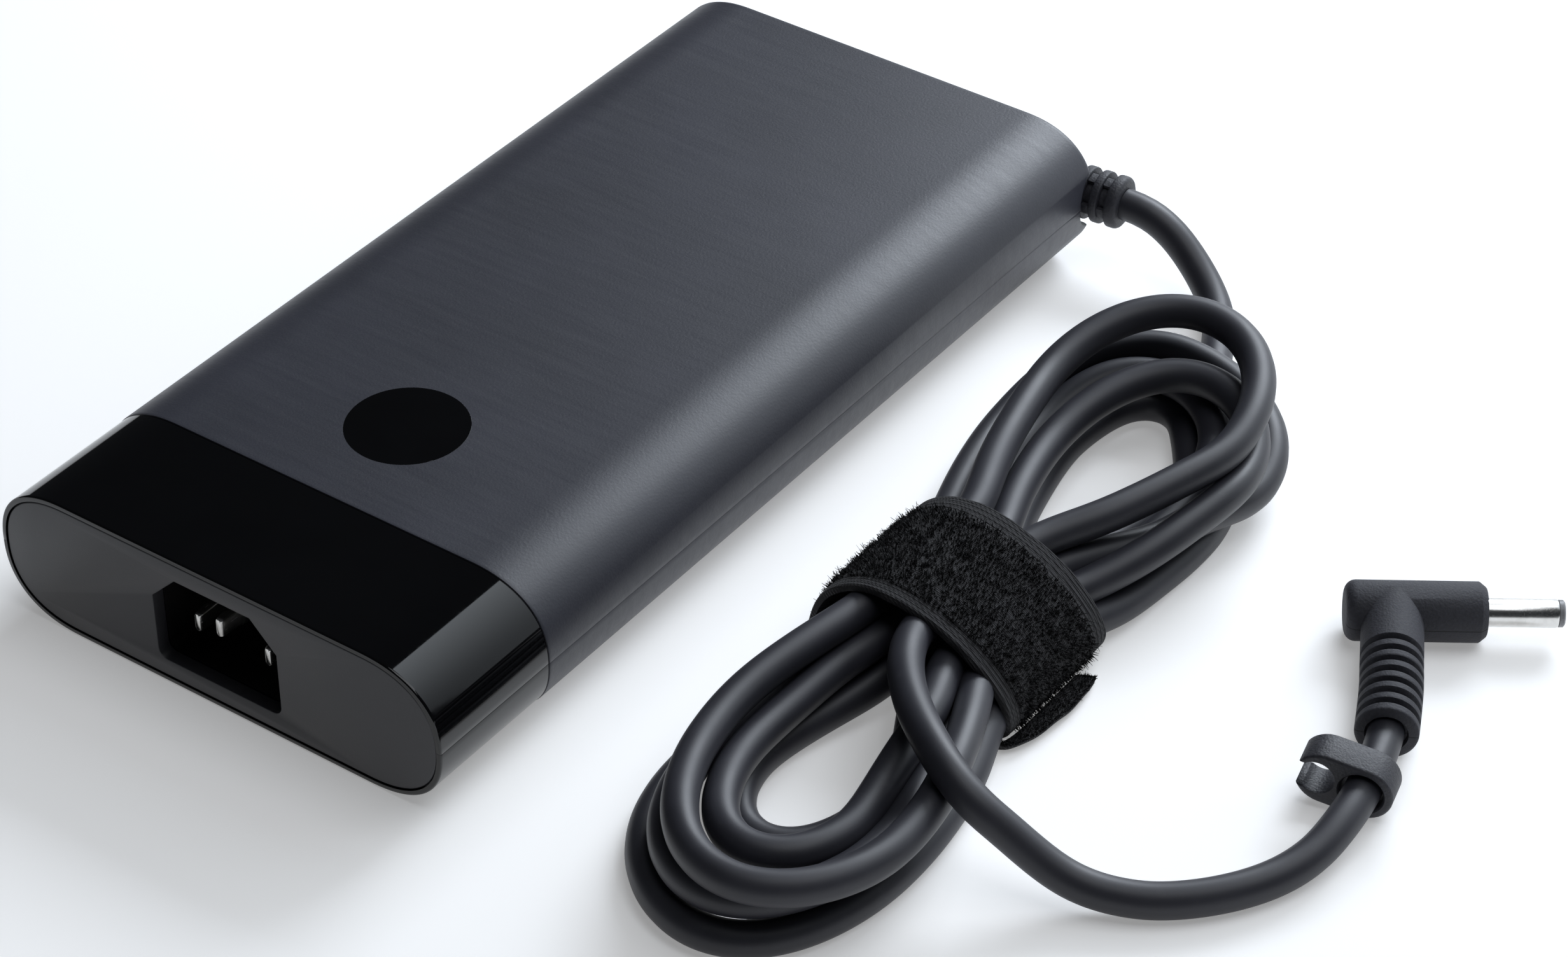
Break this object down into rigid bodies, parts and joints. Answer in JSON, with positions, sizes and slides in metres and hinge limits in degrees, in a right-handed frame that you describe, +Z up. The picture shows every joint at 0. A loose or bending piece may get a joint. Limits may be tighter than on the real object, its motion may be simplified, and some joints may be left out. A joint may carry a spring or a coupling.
{
  "type": "laptop power adapter",
  "caption": "Slim rectangular laptop power adapter with rounded long sides, a mains inlet in one end and its output lead folded into a strapped hank beside it.",
  "frame": {"origin": "middle of the case's underside, on the surface it lies on", "axes": "+Y along the case from the mains inlet to the end where the lead leaves, +X towards the side where the lead lies, +Z up"},
  "size_m": [0.2017, 0.1849, 0.0254],
  "materials": {
    "shell_plastic": "fine satin texture, with a polished band at the inlet end and a polished round inlay on top",
    "plate_plastic": "satin",
    "inlet_plastic": "satin black nylon",
    "nickel": "bright nickel plate",
    "cord_rubber": "satin moulded jacket",
    "strap_cloth": "fuzzy hook-and-loop pile with woven edges",
    "moulded_rubber": "satin moulded",
    "insulator_plastic": "satin",
    "board_laminate": "solder mask over glass laminate",
    "ferrite": "sintered",
    "enamelled_copper": "enamelled wire",
    "yellow_tape": "polyester tape and moulded boxes",
    "blue_coating": "dipped epoxy",
    "capacitor_sleeve": "shrink sleeve",
    "epoxy": "moulded epoxy",
    "heatsink_aluminium": "rolled sheet",
    "insulating_film": "translucent film",
    "thermal_gap_pad": "soft filled silicone",
    "red_wire": "PVC insulation",
    "blue_wire": "PVC insulation",
    "black_wire": "PVC insulation"
  },
  "bodies": {
    "case": {"top_shell": "shell_plastic", "bottom_shell": "shell_plastic", "end_plate": "plate_plastic", "inlet_housing": "inlet_plastic", "line_pin": "nickel", "neutral_pin": "nickel", "earth_pin": "nickel", "plug_barrel": "nickel", "plug_centre_pin": "nickel", "cord_lead_in": "cord_rubber", "cord_hank": "cord_rubber", "cord_lead_out": "cord_rubber", "strap_band": "strap_cloth", "strain_relief": "moulded_rubber", "plug_housing": "moulded_rubber", "plug_insulator": "insulator_plastic", "circuit_board": "board_laminate", "control_board": "board_laminate", "line_choke_1_core": "ferrite", "line_choke_2_core": "ferrite", "pfc_inductor_core": "ferrite", "transformer_core": "ferrite", "output_choke": "ferrite", "line_choke_1_winding": "enamelled_copper", "line_choke_2_winding": "enamelled_copper", "pfc_inductor_winding": "enamelled_copper", "transformer_winding": "yellow_tape", "x_capacitor_1": "yellow_tape", "x_capacitor_2": "yellow_tape", "varistor": "blue_coating", "y_capacitor_1": "blue_coating", "y_capacitor_2": "blue_coating", "bulk_capacitor_1": "capacitor_sleeve", "bulk_capacitor_2": "capacitor_sleeve", "output_capacitor_1": "capacitor_sleeve", "output_capacitor_2": "capacitor_sleeve", "output_capacitor_3": "capacitor_sleeve", "output_capacitor_4": "capacitor_sleeve", "fuse": "epoxy", "bridge_rectifier": "epoxy", "pfc_transistor": "epoxy", "pfc_diode": "epoxy", "optocoupler": "epoxy", "output_rectifier_1": "epoxy", "output_rectifier_2": "epoxy", "primary_heatsink": "heatsink_aluminium", "secondary_heatsink": "heatsink_aluminium", "top_heat_spreader": "heatsink_aluminium", "bottom_heat_spreader": "heatsink_aluminium", "insulating_sheet": "insulating_film", "thermal_pad": "thermal_gap_pad", "output_wire_positive": "red_wire", "output_wire_sense": "blue_wire", "output_wire_negative": "black_wire"},
    "clip": {"cable_clip": "moulded_rubber"},
    "strap_end": {"strap_tab": "strap_cloth"}
  },
  "joints": [
    {"name": "clip_slide", "type": "slide", "parent": "case", "child": "clip", "axis": [-0.1736, 0.9848, 0], "range_m": [-0.006, 0.004]},
    {"name": "strap_peel", "type": "hinge", "parent": "case", "child": "strap_end", "pos_m": [0.1029, -0.0168, 0.0008], "axis": [0, -1, 0], "range_deg": [-10, 60]}
  ]
}
